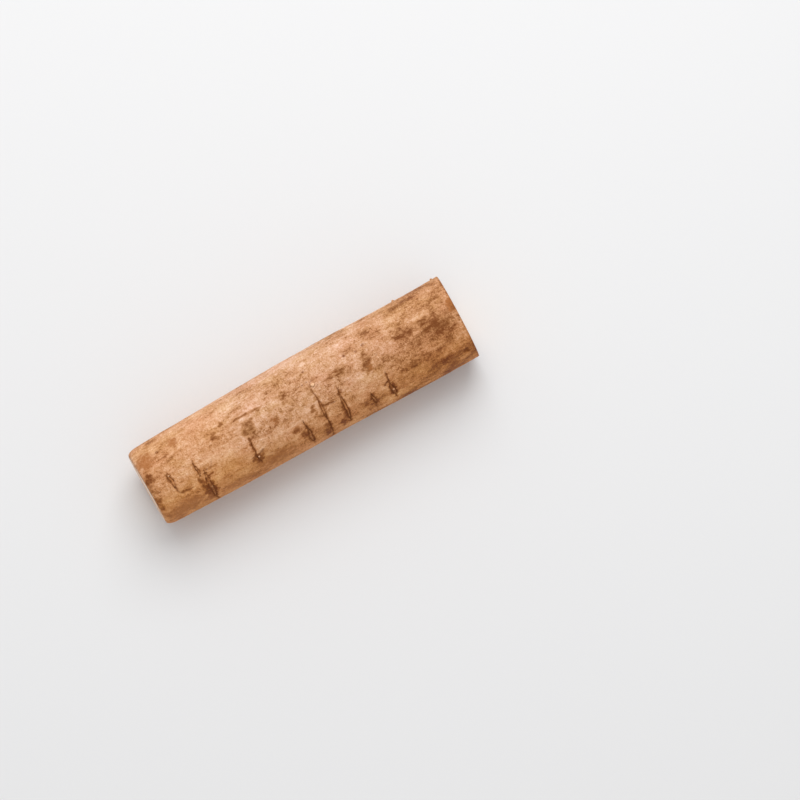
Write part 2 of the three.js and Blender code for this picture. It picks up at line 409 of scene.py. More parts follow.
def rim_rings(rim):
    """A quarter ellipse from a cut's edge up to the skin: (distance from the cut, radius share)."""
    turns = np.linspace(0, math.pi / 2, rim["rings"] + 1)[:-1]
    distance = rim["length"] * (1 - np.cos(turns))
    return distance, 1 - rim["drop"] / FULL_RADIUS * (1 - np.sin(turns))


# Every ring of the surface from the thin cut's middle to the thick one's: its distance along the
# root, its share of the skin's radius, how far across the cut it is (0 in the middle, 1 at the
# edge, more on the skin) and which cut face it is on (-1 thin, 1 thick, 0 skin).
Rings = namedtuple("Rings", "x share across cut")


def root_rings():
    """The rings of the root's surface."""
    thin_x, thin_share = rim_rings(THIN_RIM)
    thick_x, thick_share = rim_rings(THICK_RIM)
    skin_x = skin_stations()
    cut = cut_ring_shares()[:-1]
    skin = np.concatenate([thin_x, skin_x, (LENGTH - thick_x)[::-1]])
    skin_share = np.concatenate([thin_share, np.ones_like(skin_x), thick_share[::-1]])
    beyond = 1 + np.minimum(skin, LENGTH - skin) / RIM_REACH
    return Rings(
        np.concatenate([0 * cut, skin, LENGTH + 0 * cut]),
        np.concatenate([cut * thin_share[0], skin_share, cut[::-1] * thick_share[0]]),
        np.concatenate([cut, beyond, cut[::-1]]),
        np.concatenate([0 * cut - 1, 0 * skin, 0 * cut + 1]),
    )


# --------------------
# Relief and masks, worked out for every vertex.

WANDER = 0.16 * MM  # how far a slit wanders from its line in one wave; more waves are smaller
WANDER_WAVES = (1, 2, 3, 5, 8)
GROOVE_SHARE = 0.5  # how much of a slit's depth its groove has
LINE_SHARE = 0.8  # how much of the groove's half width a slit's dark line takes
LINE_SPREAD = 0.22 * MM  # how far it spreads beyond that
HALO_REACH = 0.9 * MM  # how far to its sides a slit darkens the skin
HALO_PAST = 0.05  # how far past its ends it does so, as a share of its length
CORE_EDGE = 0.25 * MM  # over what width a core fades at its sides
CORE_LEAST = 0.2  # how strong it is right at its sides, before smoothing
# How much a slit's parts narrow towards its ends: not at all for 0, like a parabola for 1.
NARROWING = {"parting": 0.6, "groove": 0.5, "line": 0.45, "halo": 0.5}
LIP_HEIGHT = 0.10 * MM
CORE_HEIGHT = 0.05 * MM
PIT_DEPTH = 0.3 * MM  # for a pit 1 mm wide
MARK_DEPTH = 0.12 * MM
PIT_DARKNESS = 0.9
MARK_DARKNESS = 0.85
PATCH_REACH = 1.35  # how far out a patch fades to nothing, in half sizes
# A patch's ragged edge: waves of a height, of radians a millimetre along and around the root, and
# how much they drift with the patch's place.
PATCH_WAVES = ((0.11, 1.9, 2.3, 1), (0.09, -1.3, 3.1, 0))
CAMBIUM_WAVES = ((1, 5, 1), (0.7, 11, -2))  # height, count, drift from cut to cut
# How far the cortex stands out of a cut, and in shares of the radius how wide its inner slope is,
# where its outer one starts and how wide that is.
CORTEX = {"swell": 0.12 * MM, "rise": 0.12, "edge": 0.85, "fall": 0.15}
SKIN_FADE = 0.8 * MM  # over what distance from a cut the skin's relief grows to its full height
PITH_SEED = 7
PITH = {"count": 6, "ring": 2.7 * MM, "length": 2.5 * MM, "width": 0.9 * MM, "depth": 0.8 * MM}
PITH_VARIES = {"turn": (-0.15, 0.15), "ring": (0.9, 1.1), "length": (0.6, 1.05), "width": (0.65, 1.1)}
DENTS = {
    "count": 14,
    "ring": (2.0 * MM, 5.2 * MM),
    "length": (0.9 * MM, 1.8 * MM),
    "width": (0.3 * MM, 0.5 * MM),
    "share": 0.12,
}


def turn_between(angle, middle):
    """The signed turn from a middle angle in degrees to angles in radians, the short way round."""
    return (angle - math.radians(middle) + math.pi) % (2 * math.pi) - math.pi


def around_mm(angle, middle):
    """The way around the skin, in millimetres, from an angle in degrees to angles in radians."""
    return turn_between(angle, middle) * FULL_RADIUS / MM


def lens(t, sharpness):
    """1 in the middle of a stretch from 0 to 1, 0 at its ends and beyond."""
    return np.clip(4 * t * (1 - t), 0, 1) ** sharpness


def soft_step(value):
    """Goes smoothly from 0 to 1 as the value does."""
    value = np.clip(value, 0, 1)
    return value * value * (3 - 2 * value)


def slit_fields(slit, x, angle, seed):
    """One slit's groove, its dark line, the darkened skin beside it and the core inside it, each
    from 0 to 1."""
    middle, half = (slit.start + slit.stop) / 2, math.radians(slit.stop - slit.start) / 2
    t = turn_between(angle, middle) / (2 * half) + 0.5
    rng = np.random.default_rng(seed)
    wander = sum(
        WANDER / k * np.sin(2 * math.pi * k * t + rng.uniform(0, 2 * math.pi)) for k in WANDER_WAVES
    )
    aside = np.abs(x - (slit.at * MM + (t - 0.5) * slit.lean * MM + wander))
    parting = np.zeros_like(x)
    core_half = parting
    if slit.core:
        start, stop, width = slit.core
        parting = lens((t - start) / (stop - start), NARROWING["parting"])
        core_half = width * MM / 2 * parting
    half_width = slit.width * MM / 2 * lens(t, NARROWING["groove"]) + TINY
    off_line = np.abs(aside - core_half)
    groove = np.clip(1 - (off_line / half_width) ** 2, 0, 1)
    line_half = (LINE_SHARE * half_width + LINE_SPREAD) * (1 - parting / 2)
    line = bell(off_line, line_half) * lens(t, NARROWING["line"])
    longer = (t + HALO_PAST) / (1 + 2 * HALO_PAST)
    halo = bell(np.maximum(aside - core_half, 0), HALO_REACH) * lens(longer, NARROWING["halo"])
    core = np.where(core_half > 0, soft_step((core_half - aside) / CORE_EDGE + CORE_LEAST), 0)
    return groove, line, halo, core


def patch_field(patch, x, angle):
    """How strongly a patch covers each point: its strength in the middle, fading over a ragged edge."""
    along, around = x / MM - patch.at, around_mm(angle, patch.angle)
    turn = math.radians(patch.turn)
    u = (along * math.cos(turn) + around * math.sin(turn)) / patch.along
    v = (around * math.cos(turn) - along * math.sin(turn)) / patch.around
    ragged = sum(
        height * np.sin(a * along + b * around + drift * patch.at) for height, a, b, drift in PATCH_WAVES
    )
    return patch.strength * soft_step(PATCH_REACH - np.hypot(u, v) + ragged)


def mark_field(mark, x, angle):
    """How dark a thin line is at each point."""
    nearest = np.full_like(x, np.inf)
    for (at, start), (to, stop) in zip(mark.points, mark.points[1:]):
        a, b = x / MM - at, around_mm(angle, start)
        run, rise = to - at, math.radians(stop - start) * FULL_RADIUS / MM
        t = np.clip((a * run + b * rise) / (run * run + rise * rise), 0, 1)
        nearest = np.minimum(nearest, np.hypot(a - t * run, b - t * rise))
    return mark.strength * bell(nearest, mark.width)


def pit_field(pit, x, angle):
    """How deep a small round pit is at each point, from 0 to 1."""
    return bell(np.hypot(x / MM - pit.at, around_mm(angle, pit.angle)), pit.size / 2)


def skin_relief(x, angle):
    """The height of slits, pits and lips on the skin, and the masks that colour them."""
    height, crack, halo, core = (np.zeros_like(x) for _ in range(4))
    for seed, slit in enumerate(SLITS):
        groove, line, beside, tongue = slit_fields(slit, x, angle, seed)
        height += -slit.depth * MM * GROOVE_SHARE * groove + LIP_HEIGHT * beside + CORE_HEIGHT * tongue
        crack, halo, core = np.maximum(crack, line), np.maximum(halo, beside), np.maximum(core, tongue)
    for pit in PITS:
        hole = pit_field(pit, x, angle)
        height -= PIT_DEPTH * pit.size * hole
        crack = np.maximum(crack, PIT_DARKNESS * hole)
    for mark in MARKS:
        line = mark_field(mark, x, angle)
        height -= MARK_DEPTH * line
        crack = np.maximum(crack, MARK_DARKNESS * line)
    return height, {"crack": crack, "halo": halo, "core": core}


def strongest(patches, x, angle):
    """The strongest of several patches at each point."""
    return np.max([patch_field(patch, x, angle) for patch in patches], axis=0)


def drop_field(radius, angle, middle, ring, length, width):
    """1 in the middle of a drop that points away from the cut's middle, 0 at its edge and beyond."""
    turn = (angle - middle + math.pi) % (2 * math.pi) - math.pi
    outward = (radius * np.cos(turn) - ring) / (length / 2)
    sideways = radius * np.sin(turn) / (width / 2)
    return np.clip(1 - outward**2 - sideways**2, 0, 1) * (np.cos(turn) > 0)


def cut_relief(radius, angle, flip):
    """How far a cut face stands out along the root: its cambium, its swollen cortex and its pith's
    hollows. Gives the hollows' mask too."""
    share = radius / FULL_RADIUS
    waver = sum(height * np.sin(count * angle + drift * flip) for height, count, drift in CAMBIUM_WAVES)
    off_line = (share - CAMBIUM["share"] - CAMBIUM["wobble"] * waver) * FULL_RADIUS
    height = -CAMBIUM["depth"] * bell(off_line, CAMBIUM["width"])
    rise = soft_step((share - CAMBIUM["share"]) / CORTEX["rise"])
    height += CORTEX["swell"] * rise * (1 - soft_step((share - CORTEX["edge"]) / CORTEX["fall"]))
    hollow = np.zeros_like(radius)
    rng = np.random.default_rng(PITH_SEED + flip)
    for k in range(PITH["count"]):
        middle = 2 * math.pi * k / PITH["count"] + rng.uniform(*PITH_VARIES["turn"])
        sizes = [PITH[size] * rng.uniform(*PITH_VARIES[size]) for size in ("ring", "length", "width")]
        hollow = np.maximum(hollow, drop_field(radius, angle, middle, *sizes))
    for _ in range(DENTS["count"]):
        middle = rng.uniform(0, 2 * math.pi)
        sizes = [rng.uniform(*DENTS[size]) for size in ("ring", "length", "width")]
        hollow = np.maximum(hollow, DENTS["share"] * drop_field(radius, angle, middle, *sizes))
    return height - PITH["depth"] * np.sqrt(hollow), np.sqrt(hollow)


# --------------------
# The meshes that the rules start from.

ATLAS_MM = 128  # the side of the square that the skin and both cuts are laid out in
ATLAS_GAP = 1.0
STUB_FOOT = 0.9 * MM  # how deep the stubs reach under the skin


def store(mesh, name, values):
    """Keeps a number or a vector for every vertex of a mesh."""
    values = np.asarray(values, np.float32)
    kind, field = ("FLOAT", "value") if values.ndim == 1 else ("FLOAT_VECTOR", "vector")
    mesh.attributes.new(name, kind, "POINT").data.foreach_set(field, values.ravel())


def root_surface(rings):
    """The points of every ring and their masks, ring by ring."""
    x, share, across, cut = (np.repeat(values, AROUND) for values in rings)
    angle = np.tile(-math.pi + 2 * math.pi * np.arange(AROUND) / AROUND, len(rings.x))
    on_skin = cut == 0
    near_cut = soft_step(np.minimum(x, LENGTH - x) / SKIN_FADE)
    skin = skin_radius(x, angle)
    radius = share * skin
    height, masks = skin_relief(x, angle)
    points = root_points(x, angle, np.where(on_skin, height * near_cut, 0) + radius - skin)
    masks = {mask: np.where(on_skin, values * near_cut, 0) for mask, values in masks.items()}
    for mask, patches in (("stain", STAINS), ("rust", RUSTS), ("pale", PALES)):
        masks[mask] = np.where(on_skin, strongest(patches, x, angle), 0)
    masks["hollow"] = np.zeros_like(x)
    for flip, side in enumerate((-1, 1)):
        here = cut == side
        relief, masks["hollow"][here] = cut_relief(radius[here], angle[here], flip)
        points[here, 0] += side * relief
    masks["across"] = across
    masks["outward"] = np.stack([np.zeros_like(x), -np.sin(angle), np.cos(angle)], axis=-1)
    return points, masks


def root_corners(count):
    """The corners of the faces between so many rings, and of a fan at each cut's middle, as arrays
    of rings and columns. Column AROUND is column 0 again. The row after the last ring holds the
    cuts' middles: the thin one's, then the thick one's."""
    ring, column = (grid.ravel() for grid in np.mgrid[: count - 1, :AROUND])
    here = np.arange(AROUND)
    first, last, middles = (np.full(AROUND, k) for k in (0, count - 1, count))
    sets = (
        ((ring + 1, ring + 1, ring, ring), (column, column + 1, column + 1, column)),
        ((middles, first, first), (0 * here, here, here + 1)),
        ((middles, last, last), (0 * here + 1, here + 1, here)),
    )
    return [[np.stack(corners, axis=-1) for corners in pair] for pair in sets]


def atlas_places(rings, ring, column):
    """Where faces' corners lie in the map that finishes are kept in: the skin's in a rectangle,
    each cut's in a disc."""
    count, cut_rings = len(rings.x), np.count_nonzero(rings.cut == -1)
    first = ring.min(axis=1, keepdims=True)
    on_thin, on_thick = first < cut_rings, first >= count - cut_rings - 1
    x, share = np.append(rings.x, 0), np.append(rings.share, 0)
    turn = 2 * math.pi * column / AROUND
    radius = share[ring] * FULL_RADIUS / MM
    disc = FULL_RADIUS / MM + ATLAS_GAP
    u = np.where(on_thin, disc, 3 * disc) + radius * np.sin(turn)
    v = ATLAS_MM - disc + radius * np.cos(turn)
    u = np.where(on_thin | on_thick, u, ATLAS_GAP + x[ring] / MM)
    v = np.where(on_thin | on_thick, v, ATLAS_GAP + turn * FULL_RADIUS / MM)
    return (np.stack([u, v], axis=-1) / ATLAS_MM).reshape(-1)


def root_mesh(name):
    """The root's whole surface as one closed mesh, with its masks as attributes and the skin and
    both cuts laid flat in a UV map."""
    rings = root_rings()
    points, masks = root_surface(rings)
    middles = [points[:AROUND].mean(axis=0), points[-AROUND:].mean(axis=0)]
    sets = root_corners(len(rings.x))
    faces = [face for ring, column in sets for face in (ring * AROUND + column % AROUND).tolist()]
    mesh = bpy.data.meshes.new(name)
    mesh.from_pydata(np.concatenate([points, middles]).tolist(), [], faces)
    for mask, values in masks.items():
        ends = [values[0], values[-1]]
        at_middles = np.zeros_like(ends) if mask in ("across", "outward") else ends
        store(mesh, mask, np.concatenate([values, at_middles]))
    places = np.concatenate([atlas_places(rings, ring, column) for ring, column in sets])
    mesh.uv_layers.new(name="OFBake").data.foreach_set("uv", places.astype(np.float32))
    mesh.shade_smooth()
    mesh.validate()
    return mesh


def stub_points(name):
    """A point under the skin for each stub, with its aim, its half width and its length."""
    at, degrees, size, height, pale = (np.array(column) for column in zip(*STUBS))
    x, angle = at * MM, np.radians(degrees)
    foot = root_points(x, angle, np.full_like(x, -STUB_FOOT))
    rise = root_points(x, angle, height * MM) - foot
    length = np.linalg.norm(rise, axis=1)
    mesh = bpy.data.meshes.new(name)
    mesh.from_pydata(foot.tolist(), [], [])
    store(mesh, "size", size * MM / 2)
    store(mesh, "height", length)
    store(mesh, "pale", pale)
    store(mesh, "aim", rise / length[:, None])
    return mesh


# --------------------
# Node trees. A Value wraps one socket, and arithmetic on Values adds Math nodes.


class Value:
    """An output socket of a tree that takes part in arithmetic as a number."""

    def __init__(self, maker, socket):
        self.maker = maker
        self.socket = socket

    def __add__(self, other):
        return self.maker.math("ADD", self, other)

    def __sub__(self, other):
        return self.maker.math("SUBTRACT", self, other)

    def __mul__(self, other):
        return self.maker.math("MULTIPLY", self, other)

    def __rsub__(self, other):
        return self.maker.math("SUBTRACT", other, self)

    def __neg__(self):
        return self * -1

    def __abs__(self):
        return self.maker.math("ABSOLUTE", self)

    __radd__ = __add__
    __rmul__ = __mul__


# Noise, as how closely its features are packed, in features a millimetre along X, Y and Z or one
# number for all three, how many finer layers it has and how rough those are.
Pattern = namedtuple("Pattern", "packing detail roughness")


class Maker:
    """Adds nodes to one shader or geometry tree."""

    def __init__(self, tree):
        self.tree = tree

    def node(self, kind, settings=None, inputs=None, output=0):
        """Adds a node: its settings first, then the values or links of its sockets, by name or number."""
        node = self.tree.nodes.new(kind)
        for name, value in (settings or {}).items():
            if name == "stops":
                self._set_stops(node.color_ramp, value)
            else:
                setattr(node, name, value)
        for name, value in (inputs or {}).items():
            if isinstance(value, Value):
                self.tree.links.new(value.socket, node.inputs[name])
            else:
                node.inputs[name].default_value = value
        return Value(self, node.outputs[output]) if node.outputs else node

    @staticmethod
    def _set_stops(ramp, stops):
        """Gives a colour ramp its stops: (place, colour)."""
        while len(ramp.elements) < len(stops):
            ramp.elements.new(0.5)
        for element, (place, shade) in zip(ramp.elements, stops):
            element.position = place
            element.color = (*shade, 1)

    def math(self, operation, *values):
        return self.node("ShaderNodeMath", {"operation": operation}, dict(enumerate(values)))

    def vector(self, operation, *values):
        return self.node("ShaderNodeVectorMath", {"operation": operation}, dict(enumerate(values)))

    def scale(self, vector, factor):
        """A vector made longer or shorter by a number."""
        return self.node("ShaderNodeVectorMath", {"operation": "SCALE"}, {0: vector, 3: factor})

    def join(self, x, y, z):
        return self.node("ShaderNodeCombineXYZ", inputs={0: x, 1: y, 2: z})

    def split(self, vector):
        """The three numbers of a vector."""
        outputs = self.node("ShaderNodeSeparateXYZ", None, {0: vector}).socket.node.outputs
        return [Value(self, socket) for socket in outputs]

    def stretch(self, place, x, y, z):
        """A place scaled along each axis, so that a pattern on it is drawn out or packed."""
        return self.vector("MULTIPLY", place, (x, y, z))

    def in_mm(self, place):
        """A place in millimetres."""
        return self.stretch(place, 1 / MM, 1 / MM, 1 / MM)

    def object_place(self):
        """The place of each point of the object, in metres."""
        return self.node("ShaderNodeTexCoord", output="Object")

    def position(self):
        """The place of each point of the geometry, in metres."""
        return self.node("GeometryNodeInputPosition")

    def field(self, name, kind="FLOAT"):
        """What a geometry's points keep under a name."""
        return self.node("GeometryNodeInputNamedAttribute", {"data_type": kind}, {"Name": name})

    def mask(self, name):
        """One of the mesh's own masks, in a material."""
        return self.node("ShaderNodeAttribute", {"attribute_name": name}, output="Fac")

    def noise(self, place, scale, detail=2.0, roughness=0.5, output=0):
        """Noise between 0 and 1, with a mean of about 0.5."""
        inputs = {"Vector": place, "Scale": scale, "Detail": detail, "Roughness": roughness}
        return self.node("ShaderNodeTexNoise", None, inputs, output)

    def pattern(self, mm, pattern):
        """A pattern over places in millimetres, with a mean of about 0."""
        packing, detail, roughness = pattern
        if isinstance(packing, tuple):
            return self.noise(self.stretch(mm, *packing), 1.0, detail, roughness) - 0.5
        return self.noise(mm, packing, detail, roughness) - 0.5

    def step(self, value, low, high):
        """Goes smoothly from 0 to 1 as the value goes from low to high."""
        settings = {"interpolation_type": "SMOOTHSTEP"}
        return self.node("ShaderNodeMapRange", settings, {0: value, 1: low, 2: high, 3: 0.0, 4: 1.0})

    def mix(self, factor, under, over, blend="MIX"):
        """One colour over another, by a factor."""
        settings = {"data_type": "RGBA", "blend_type": blend, "clamp_factor": True}
        under, over = (shade if isinstance(shade, Value) else (*shade, 1) for shade in (under, over))
        return self.node("ShaderNodeMix", settings, {0: factor, 6: under, 7: over}, output=2)

    def tint(self, factor, under, shade):
        """A colour multiplied by a tint, by a factor."""
        return self.mix(factor, under, shade, "MULTIPLY")


# --------------------
# Sizes and colours that a user would change.


def colour_prop(name, description, default):
    """A colour of a finish, in linear light."""
    return bpy.props.FloatVectorProperty(
        name=name, description=description, default=default, subtype="COLOR", size=3, min=0, max=1
    )


def length_prop(name, description, default):
    """A length in metres."""
    return bpy.props.FloatProperty(
        name=name, description=description, default=default, unit="LENGTH", precision=5
    )


def angle_prop(name, description, degrees):
    """An angle, kept in radians."""
    return bpy.props.FloatProperty(
        name=name, description=description, default=math.radians(degrees), subtype="ANGLE", unit="ROTATION"
    )


class BURDOCK_PG_relief(bpy.types.PropertyGroup):
    """How uneven the skin and the cuts are."""

    lumps: length_prop("Lumps", "Height of the broad swellings", 0.16 * MM)
    wrinkles: length_prop("Wrinkles", "Height of the wrinkles that run along the root", 0.16 * MM)
    rings: length_prop("Rings", "Height of the fine creases that run around the root", 0.07 * MM)
    grain: length_prop("Grain", "Height of the grain that is finer than the mesh", 0.30 * MM)
    knife: length_prop("Knife marks", "Height of the marks that the knife left on the cuts", 0.05 * MM)
    ragged: length_prop("Raggedness", "How far the stubs of rootlets are torn out of round", 0.35 * MM)
    crumbs: bpy.props.FloatProperty(
        name="Crumbs", description="Crumbs of earth on a square metre of slit", default=1.0e6
    )
    crumb_low: length_prop("Smallest crumb", "Half the length of the smallest crumb", 0.04 * MM)
    crumb_high: length_prop("Largest crumb", "Half the length of the largest crumb", 0.13 * MM)


class BURDOCK_PG_colours(bpy.types.PropertyGroup):
    """Colours of the skin and the flesh."""

    earth: colour_prop("Earth", "The skin at its darkest", (0.21, 0.062, 0.011))
    umber: colour_prop("Umber", "The skin where earth has darkened it", (0.366, 0.152, 0.052))
    tan: colour_prop("Tan", "The skin's middle tone", (0.59, 0.288, 0.134))
    peach: colour_prop("Peach", "The skin where it is dry and pale", (0.77, 0.452, 0.285))
    dry: colour_prop("Dry", "The skin at its palest", (0.93, 0.64, 0.475))
    ochre: colour_prop("Ochre", "Tints the skin where it is yellower", (0.95, 0.96, 0.79))
    pink: colour_prop("Pink", "Tints the skin where it is redder", (1.0, 0.93, 0.96))
    # Warm is painted shade on the -Y side, away from the key light; it also tints both ends.
    warm: colour_prop("Warm", "Tints the earthier side of the skin", (0.98, 0.79, 0.48))
    rust: colour_prop("Rust", "Orange patches of bruised skin", (0.42, 0.15, 0.040))
    bark: colour_prop("Bark", "The brown edges of slits", (0.25, 0.080, 0.020))
    crack: colour_prop("Crack", "The inside of slits", (0.085, 0.014, 0.001))
    scar: colour_prop("Scar", "The tongues of tissue in slits", (0.56, 0.225, 0.072))
    torn: colour_prop("Torn", "The torn tops of stubs", (0.93, 0.57, 0.34))
    heart: colour_prop("Heart", "The white middle of a cut", (0.90, 0.75, 0.62))
    blush: colour_prop("Blush", "The heart's edge and the outer cortex", (0.84, 0.58, 0.41))
    cortex: colour_prop("Cortex", "The cortex where it has browned next to the heart", (0.53, 0.29, 0.145))
    cambium: colour_prop("Cambium", "The line between heart and cortex", (0.36, 0.19, 0.09))
    hollow: colour_prop("Hollow", "The bottoms of the pith's hollows", (0.30, 0.18, 0.085))


class BURDOCK_PG_studio(bpy.types.PropertyGroup):
    """The floor, the lights and the camera."""

    floor: colour_prop("Floor", "The floor's colour", (0.80, 0.80, 0.805))
    key: bpy.props.FloatProperty(
        name="Key", description="Power of the large soft light", default=6.2, unit="POWER"
    )
    fill: bpy.props.FloatProperty(
        name="Fill", description="Strength of the light from all round", default=0.65
    )
    distance: length_prop("Distance", "From the camera to the root", 0.9)
    azimuth: angle_prop("Azimuth", "The way that the camera looks, from +Y", -29.6)
    elevation: angle_prop("Elevation", "The camera's height above the horizon", 80)
    width: length_prop("View width", "How much the view takes in across the root", 0.2682)
    aside: length_prop("Aside", "How far right of the root the camera aims", 32.1 * MM)
    above: length_prop("Above", "How far above the root the camera aims, in the picture", 0.35 * MM)
    key_turn: angle_prop("Key turn", "How far the key light is turned round from the camera", 180)
    key_height: angle_prop("Key height", "The key light's height above the horizon", 55)


# --------------------
# Finishes.

GRAIN = Pattern(2.4, 2, 0.6)
COARSE_GRAIN = Pattern(1.15, 2, 0.6)
MOTTLE = Pattern((0.36, 0.58, 0.58), 5, 0.72)
DRIFTS = Pattern((0.11, 0.19, 0.19), 3, 0.55)  # wide drifts of lighter and darker skin
STREAKS = Pattern((0.16, 1.5, 1.5), 3, 0.6)  # along the root
CREASES = Pattern((2.4, 0.5, 0.5), 2, 0.6)  # around the root
HEART_EDGE = CAMBIUM["share"]
SKIN_EDGE = 0.985  # how far across a cut its skin begins
FLOOR_CLOUDS = (0.74, 0.74, 0.75)  # the darker clouds in the floor's coat


def new_finish(name):
    """An empty material with a Maker for its tree."""
    material = bpy.data.materials.new(name)
    material.use_nodes = True
    material.node_tree.nodes.clear()
    return material, Maker(material.node_tree)


def close_finish(make, shade, roughness, height, bump_distance, **constants):
    """Ends a tree in a Principled shader. The constants are set on the shader's own sockets."""
    bump = make.node("ShaderNodeBump", None, {"Height": height, "Distance": bump_distance})
    inputs = {"Base Color": shade, "Roughness": roughness, "Normal": bump, **constants}
    shader = make.node("ShaderNodeBsdfPrincipled", None, inputs)
    make.node("ShaderNodeOutputMaterial", None, {"Surface": shader})


def skin_colour(make, mm, colours):
    """The skin's colour and its fine relief. One tone, from wet earth to dry peach, takes in painted
    light (paler towards +Y, where the key light falls, and in a band along the -Y half), streaks,
    grain, stains, a dark edge of painted shade at the thicker cut, the skin beside the slits and
    painted glints. It is tinted yellower and redder in places, and warmer at both ends and on the -Y
    side, where the warmth is painted shade. Rust, scars and the slits themselves lie over it."""
    along, across_y, _ = make.split(mm)
    patterns = (GRAIN, COARSE_GRAIN, MOTTLE, DRIFTS, STREAKS, CREASES)
    grain, coarse, mottle, drifts, streaks, creases = (make.pattern(mm, each) for each in patterns)
    soiled = make.step(drifts + mottle * 0.5, 0.0, 0.14)
    freckle = make.step(mottle + coarse * 0.5, 0.05, 0.18) * soiled
    rags = mottle * 1.8 + coarse * 1.5 + grain * 1.4

    # Painted light: a paler band along the -Y half of the skin, the whole length of the root.
    painted_light_band = make.step(-across_y, 1.5, 5) - make.step(-across_y, 9, 13)
    thick_end = make.step(along, 5, 55) * 0.20
    thin_end = make.step(-along, 35, 60) * 0.03
    # Painted light: the tone also grows paler towards +Y, where the key light falls.
    tone = 0.58 + across_y * 0.004 + painted_light_band * 0.08 - thick_end - thin_end
    tone = tone + grain * 0.90 + coarse * 0.60 + streaks * 0.35 + creases * 0.25
    blotched = 0.55 + make.step(along, 5, 40) * 0.6
    tone = tone - mottle * (0.75 + soiled * 0.55) - drifts * blotched * 1.3
    # Painted shade: a darker strip of skin along the rim of the thicker cut, where the skin turns away from
    # the light.
    edge = (1 - make.step(make.mask("across"), 1.0, 1.10)) * make.step(along, 0, 20)
    specks = make.step(make.noise(mm, 1.3, 1, 0.5) + drifts * 0.4, 0.68, 0.76)
    stain = make.step(make.mask("stain") + rags, 0.30, 1.15)
    halo = make.step(make.mask("halo") + rags, 0.35, 1.25)
    tone = tone - edge * 0.22 - freckle * 0.08 - specks * 0.25 - stain * 0.52 - halo * 0.42
    pale = make.step(make.mask("pale") + mottle * 1.6 + coarse, 0.25, 0.95)
    # Painted highlights: tiny pale specks that stand in for glints of light.
    glints = make.step(make.noise(mm, 1.7, 1, 0.5), 0.66, 0.74)
    tone = tone + pale * 0.16 + glints * 0.12
    tones = (colours.earth, colours.umber, colours.tan, colours.peach, colours.dry)
    stops = [(0.25 * number, shade) for number, shade in enumerate(tones)]
    base = make.node("ShaderNodeValToRGB", {"stops": stops}, {0: tone})

    hue = make.noise(make.stretch(mm, 0.07, 0.12, 0.12), 1.3, 3, 0.6) - 0.5
    base = make.tint(make.step(hue + mottle * 0.3, 0.0, 0.16) * 0.5, base, colours.ochre)
    base = make.tint(make.step(-hue + mottle * 0.3, 0.0, 0.16) * 0.5, base, colours.pink)
    # Painted shade: the Warm tint deepens and browns the -Y side, away from the key light; it also warms
    # both ends.
    thick_warmth, thin_warmth = make.step(along, 15, 50) * 0.20, make.step(-along, 18, 34) * 0.40
    warm = make.step(-across_y, 1, 15) * 0.90 + thick_warmth + thin_warmth
    base = make.tint(warm, base, colours.warm)

    rust = make.mask("rust") + mottle * 1.8 + coarse * 1.4 + grain * 1.0 + streaks
    rust_depth = 0.80 + coarse * 1.2 + grain * 1.0
    base = make.mix(make.step(rust, 0.30, 1.00) * rust_depth, base, colours.rust)
    base = make.mix(make.mask("core") * (0.40 + streaks * 1.5), base, colours.scar)
    crack = make.mask("crack")
    bark = make.step(crack + rags * 0.7, 0.15, 0.90)
    base = make.mix(bark * 0.80, base, colours.bark)
    inside = make.step(crack + coarse * 1.6 + grain * 1.2, 0.80, 1.25)
    base = make.mix(inside * 0.85, base, colours.crack)
    relief = streaks * 0.5 + creases * 0.4 + grain * 0.7 + coarse * 0.6 - freckle * 0.2
    return base, relief


def flesh_colour(make, mm, colours):
    """A cut's colour and its fine relief: white heart, brown cambium line, tan cortex that pales
    outwards, and a dark edge of skin."""
    outward = make.node("ShaderNodeAttribute", {"attribute_name": "outward"}, output="Vector")
    across = make.mask("across")

    def ray_noise(count, drift, *texture):
        """Noise in rays from the middle: more of them for a greater count, changing outwards."""
        fan = make.stretch(outward, 1, count, count)
        return make.noise(make.vector("ADD", fan, make.join(across * drift, 0, 0)), 1.0, *texture)

    rays, fine_rays = ray_noise(9, 1.2, 3, 0.6), ray_noise(30, 2)
    blotch = make.noise(mm, 0.45, 4, 0.65)
    waver = across + (rays - 0.5) * 0.035 + (blotch - 0.5) * 0.03

    heart = make.mix(make.step(waver, 0.35, 0.67), colours.heart, colours.blush)
    heart = make.tint(make.step(fine_rays, 0.48, 0.62) * 0.20, heart, colours.blush)
    browned = make.step(waver + (rays - 0.5) * 0.3, 0.69, 0.84)
    cortex = make.mix(browned, colours.cortex, colours.blush)
    cortex = make.tint(make.step(rays, 0.45, 0.62) * 0.30, cortex, colours.blush)
    cortex = make.mix(make.step(waver, 0.82, 0.94) * 0.45, cortex, colours.heart)
    flesh = make.mix(make.step(waver, HEART_EDGE - 0.006, HEART_EDGE + 0.012), heart, cortex)
    line = 1 - make.step(abs(waver - HEART_EDGE), 0.004, 0.022)
    flesh = make.mix(line * (0.2 + blotch * 0.6), flesh, colours.cambium)
    flesh = make.tint(make.step(blotch, 0.52, 0.66) * 0.22, flesh, colours.blush)
    flesh = make.mix(make.mask("hollow") * 0.80, flesh, colours.hollow)
    cells = make.node("ShaderNodeTexVoronoi", None, {"Vector": mm, "Scale": 0.9})
    inner = make.step(across, 0.10, 0.20) * (1 - make.step(across, 0.35, 0.50))
    dots = (1 - make.step(cells, 0.06, 0.24)) * (make.step(across, 0.80, 0.90) + inner)
    flesh = make.mix(dots * 0.55, flesh, colours.cambium)
    flesh = make.mix(make.step(waver, 0.955, SKIN_EDGE), flesh, colours.umber)
    return flesh, rays * 0.3 + blotch * 0.3


